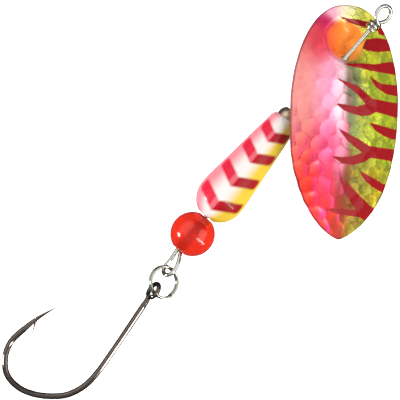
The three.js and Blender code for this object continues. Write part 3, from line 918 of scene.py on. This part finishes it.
HOOK_WIRE, HOOK_EYE_WIRE, HOOK_EYE_RADIUS, HOOK_TIP = 1.12, 0.85, 1.375, 0.05
HOOK_EYE_TURN = math.radians(-60)
HOOK_EYE_START, HOOK_EYE_END, HOOK_EYE_STEPS = -62, 255, 13
HOOK_LEAN = math.radians(-6.5)
HOOK_MIDDLE = turning_place("hook_swing")
HANGING = Matrix.Translation(HOOK_MIDDLE) @ Matrix.Rotation(HOOK_LEAN, 4, "Y")
knots = []
for step in range(HOOK_EYE_STEPS + 1):
    angle = math.radians(HOOK_EYE_START + (HOOK_EYE_END - HOOK_EYE_START) * step / HOOK_EYE_STEPS)
    aside = HOOK_EYE_RADIUS * math.cos(angle)
    height = HOOK_EYE_RADIUS * math.sin(angle)
    knots.append((aside * math.cos(HOOK_EYE_TURN), aside * math.sin(HOOK_EYE_TURN), height))
BEND = [
    (0, -2.1), (0.02, -3), (0.05, -6), (0.1, -10), (0.1, -14), (0.02, -17.3), (-0.5, -20.7), (-2.1, -23.8),
    (-4.3, -25.7), (-7.2, -27.2), (-10.2, -27.75), (-13.1, -27), (-15.05, -24.7), (-15.78, -21.9),
    (-15.1, -18.5), (-14.2, -15.6), (-12.62, -12.27),
]
knots += [(across, 0, height) for across, height in BEND]
hook_line = [HANGING @ p for p in curved_through(knots, 14)]
steps = [(q - p).length for p, q in zip(hook_line, hook_line[1:])]
lengths = np.concatenate([[0], np.cumsum(steps)])
NECK_END, SHANK_FULL, SPEAR, SPEAR_TAPER = 7.6, 9.6, 7.5, 1.15
radii = np.interp(lengths, [NECK_END, SHANK_FULL], [HOOK_EYE_WIRE / 2, HOOK_WIRE / 2])
spear = np.clip((lengths - lengths[-1] + SPEAR) / SPEAR, 0, 1) ** SPEAR_TAPER
radii = radii + (HOOK_TIP - radii) * spear
hook = drawn_wire("black_hook", hook_line, radii)
BARB = [(-14.5, -15.6), (-14.2, -16.4), (-13.85, -17.4), (-13.5, -18.7)]
BARB_ROOT, BARB_TIP = 0.34, 0.03
barb_line = curved_through([HANGING @ Vector((x, 0, z)) for x, z in BARB], 6)
barb = drawn_wire("barb", barb_line, np.linspace(BARB_ROOT, BARB_TIP, len(barb_line)), 3)
pick(hook)
cut_up = hook.modifiers.new("barb", "BOOLEAN")
cut_up.operation = "UNION"
cut_up.solver = "EXACT"
cut_up.object = barb
bpy.ops.object.modifier_apply(modifier=cut_up.name)
bpy.data.objects.remove(barb)
bpy.ops.object.shade_smooth_by_angle(angle=SMOOTH_ANGLE)
# Black nickel over polished steel: nearly black, warm, with sharp white highlights.
black_nickel, tree, shader = finish("black nickel on forged steel")
place = node(tree, "TexCoord").outputs["Object"]
polish = node(tree, "TexNoise", {"Vector": place, "Scale": 1 / (0.8 * MM), "Detail": 3.0})
tone = node(
    tree, "Mix", {0: polish.outputs["Fac"], 6: linear("#5A504C"), 7: linear("#766B66")}, data_type="RGBA"
)
tree.links.new(tone.outputs[2], shader.inputs["Base Color"])
shader.inputs["Metallic"].default_value = 1.0
shader.inputs["Roughness"].default_value = 0.1
hook.data.materials.append(black_nickel)
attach(hook, "hook")
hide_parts("single_hook")

# ---------------------------------------------------------------- studio
# The lure lies over a white table seen from straight above. Broad softboxes light it from the
# right and the left, a small one leaves the round highlights and a low strip lines the hook.

LENS_MM, SENSOR_MM = 302.0, 36.0
CAMERA_REACH = 0.6
VIEW_MIDDLE = Vector((-2.98, 0, -46.58)) * MM
VIEW_RIGHT = Vector((0.7554, 0, 0.6553))
VIEW_UP = Vector((-0.6553, 0, 0.7554))
VIEW_BACK = Vector((0, -1, 0))

camera_data = bpy.data.cameras.new("camera")
camera_data.lens = LENS_MM
camera_data.sensor_width = SENSOR_MM
camera = bpy.data.objects.new("camera", camera_data)
bpy.context.collection.objects.link(camera)
camera.matrix_world = Matrix.Translation(VIEW_MIDDLE + VIEW_BACK * CAMERA_REACH) @ Matrix(
    (VIEW_RIGHT, VIEW_UP, VIEW_BACK)
).transposed().to_4x4()
camera_data.clip_start, camera_data.clip_end = 0.01, 10
bpy.context.scene.camera = camera


def softbox(name, toward, distance, wide, tall, power):
    """A rectangular area light aimed at the lure."""
    data = bpy.data.lights.new(name, "AREA")
    data.shape = "RECTANGLE"
    data.size, data.size_y, data.energy = wide, tall, power
    light = bpy.data.objects.new(name, data)
    bpy.context.collection.objects.link(light)
    toward = Vector(toward).normalized()
    facing_back = toward.to_track_quat("Z", "Y").to_matrix().to_4x4()
    light.matrix_world = Matrix.Translation(VIEW_MIDDLE + toward * distance) @ facing_back


softbox("left_softbox", (-0.72, -0.27, -0.70), distance=0.42, wide=0.085, tall=0.085, power=1.4)
softbox("right_softbox", (0.7, -0.6, 0.5), distance=0.5, wide=0.4, tall=0.4, power=1.0)
softbox("hook_strip", (0.84, -0.52, -0.03), distance=0.5, wide=0.5, tall=0.06, power=1.9)
softbox("left_fill", (-0.75, -0.65, 0.1), distance=0.5, wide=0.5, tall=0.7, power=1.1)

# A white table that is seen only from above its face, so that it never hides the lure.
bpy.ops.object.select_all(action="DESELECT")
bpy.ops.mesh.primitive_plane_add(size=4, location=(0, 0.16, 0), rotation=(math.pi / 2, 0, 0))
table = bpy.context.object
table.name = "white_table"
white, tree, shader = finish("white laminate, evenly lit")
shader.inputs["Base Color"].default_value = linear("#F4F4F2")
shader.inputs["Roughness"].default_value = 0.6
shader.inputs["Emission Color"].default_value = (1, 1, 1, 1)
shader.inputs["Emission Strength"].default_value = 0.75
facing = node(tree, "NewGeometry")
clear = node(tree, "BsdfTransparent")
one_sided = node(
    tree,
    "MixShader",
    {0: facing.outputs["Backfacing"], 1: shader.outputs["BSDF"], 2: clear.outputs["BSDF"]},
)
output = next(n for n in tree.nodes if n.type == "OUTPUT_MATERIAL")
tree.links.new(one_sided.outputs["Shader"], output.inputs["Surface"])
table.data.materials.append(white)
table.visible_glossy = False

# The room is a white tent that is brightest on the camera's side, so round metal shows dark edges.
world = bpy.data.worlds.new("studio")
world.use_nodes = True
tree = world.node_tree
tree.nodes.clear()
direction = node(tree, "TexCoord").outputs["Generated"]
toward_front = node(tree, "VectorMath", {0: direction, 1: (0, -1, 0)}, operation="DOT_PRODUCT")
tent = node(
    tree,
    "MapRange",
    {"Value": toward_front.outputs["Value"], "From Min": 0.1, "From Max": 0.95, "To Min": 0.1, "To Max": 0.5},
    interpolation_type="SMOOTHSTEP",
)
tent_light = node(tree, "Background", {"Color": linear("#FFFFFF"), "Strength": tent.outputs["Result"]})
pale_wall = node(tree, "Background", {"Color": linear("#FFFFFF"), "Strength": 1.0})
seen = node(tree, "LightPath").outputs["Is Camera Ray"]
room = node(
    tree,
    "MixShader",
    {0: seen, 1: tent_light.outputs["Background"], 2: pale_wall.outputs["Background"]},
)
node(tree, "OutputWorld", {"Surface": room.outputs["Shader"]})
bpy.context.scene.world = world
bpy.context.scene.view_settings.view_transform = "Standard"
